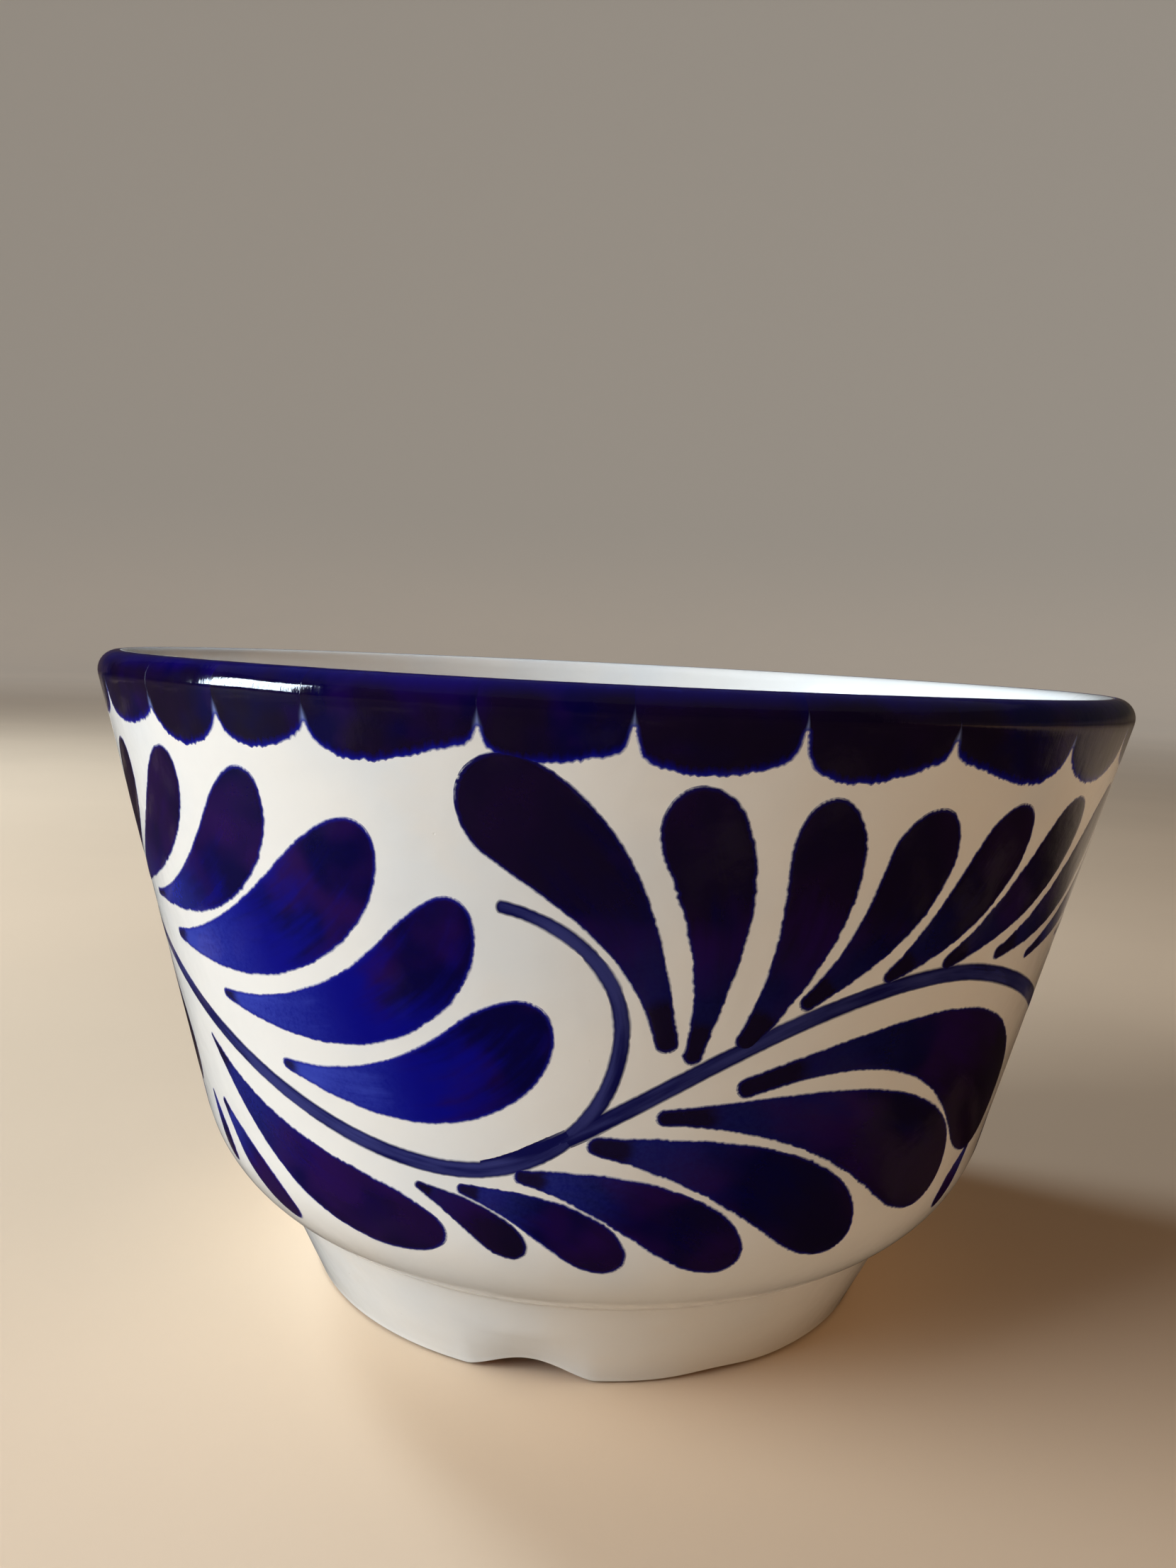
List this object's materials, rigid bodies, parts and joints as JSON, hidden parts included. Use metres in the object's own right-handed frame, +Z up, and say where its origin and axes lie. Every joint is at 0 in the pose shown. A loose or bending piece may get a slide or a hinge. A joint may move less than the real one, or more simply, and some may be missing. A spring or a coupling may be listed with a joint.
{
  "type": "footed glazed ceramic bowl",
  "caption": "Wide footed tin-glazed earthenware bowl, rolled lip, hand-painted cobalt vine of plume leaves and a scalloped cobalt rim band.",
  "frame": {"origin": "on the table plane, at the centre of the foot ring", "axes": "+Z up along the axis of the bowl; -Y towards the front, where the vine's hook is painted; +X to the right of the front"},
  "size_m": [0.171, 0.171, 0.1043],
  "materials": {
    "terracotta": "bare fired earthenware, matt and fine-grained",
    "tin_white_glaze": "opaque white tin glaze, glossy, softly uneven",
    "cobalt_paint": "glossy cobalt brushwork, deep blue with brighter edges"
  },
  "bodies": {
    "root": {"clay_body": "terracotta", "foot_ring": "terracotta", "inner_glaze": "tin_white_glaze", "lower_leaf_01_front": "cobalt_paint", "lower_leaf_01_left": "cobalt_paint", "lower_leaf_01_right": "cobalt_paint", "lower_leaf_02_front": "cobalt_paint", "lower_leaf_02_left": "cobalt_paint", "lower_leaf_02_right": "cobalt_paint", "lower_leaf_03_front": "cobalt_paint", "lower_leaf_03_left": "cobalt_paint", "lower_leaf_03_right": "cobalt_paint", "lower_leaf_04_front": "cobalt_paint", "lower_leaf_04_left": "cobalt_paint", "lower_leaf_04_right": "cobalt_paint", "lower_leaf_05_front": "cobalt_paint", "lower_leaf_05_left": "cobalt_paint", "lower_leaf_05_right": "cobalt_paint", "outer_glaze": "tin_white_glaze", "rim_band": "cobalt_paint", "upper_leaf_01_front": "cobalt_paint", "upper_leaf_01_left": "cobalt_paint", "upper_leaf_01_right": "cobalt_paint", "upper_leaf_02_front": "cobalt_paint", "upper_leaf_02_left": "cobalt_paint", "upper_leaf_02_right": "cobalt_paint", "upper_leaf_03_front": "cobalt_paint", "upper_leaf_03_left": "cobalt_paint", "upper_leaf_03_right": "cobalt_paint", "upper_leaf_04_front": "cobalt_paint", "upper_leaf_04_left": "cobalt_paint", "upper_leaf_04_right": "cobalt_paint", "upper_leaf_05_front": "cobalt_paint", "upper_leaf_05_left": "cobalt_paint", "upper_leaf_05_right": "cobalt_paint", "upper_leaf_06_front": "cobalt_paint", "upper_leaf_06_left": "cobalt_paint", "upper_leaf_06_right": "cobalt_paint", "upper_leaf_07_front": "cobalt_paint", "upper_leaf_07_left": "cobalt_paint", "upper_leaf_07_right": "cobalt_paint", "upper_leaf_08_front": "cobalt_paint", "upper_leaf_08_left": "cobalt_paint", "upper_leaf_08_right": "cobalt_paint", "upper_leaf_09_front": "cobalt_paint", "upper_leaf_09_left": "cobalt_paint", "upper_leaf_09_right": "cobalt_paint", "upper_leaf_10_front": "cobalt_paint", "upper_leaf_10_left": "cobalt_paint", "upper_leaf_10_right": "cobalt_paint", "upper_leaf_11_front": "cobalt_paint", "upper_leaf_11_left": "cobalt_paint", "upper_leaf_11_right": "cobalt_paint", "upper_leaf_12_front": "cobalt_paint", "upper_leaf_12_left": "cobalt_paint", "upper_leaf_12_right": "cobalt_paint", "vine_stem_front": "cobalt_paint", "vine_stem_left": "cobalt_paint", "vine_stem_right": "cobalt_paint"}
  },
  "joints": []
}
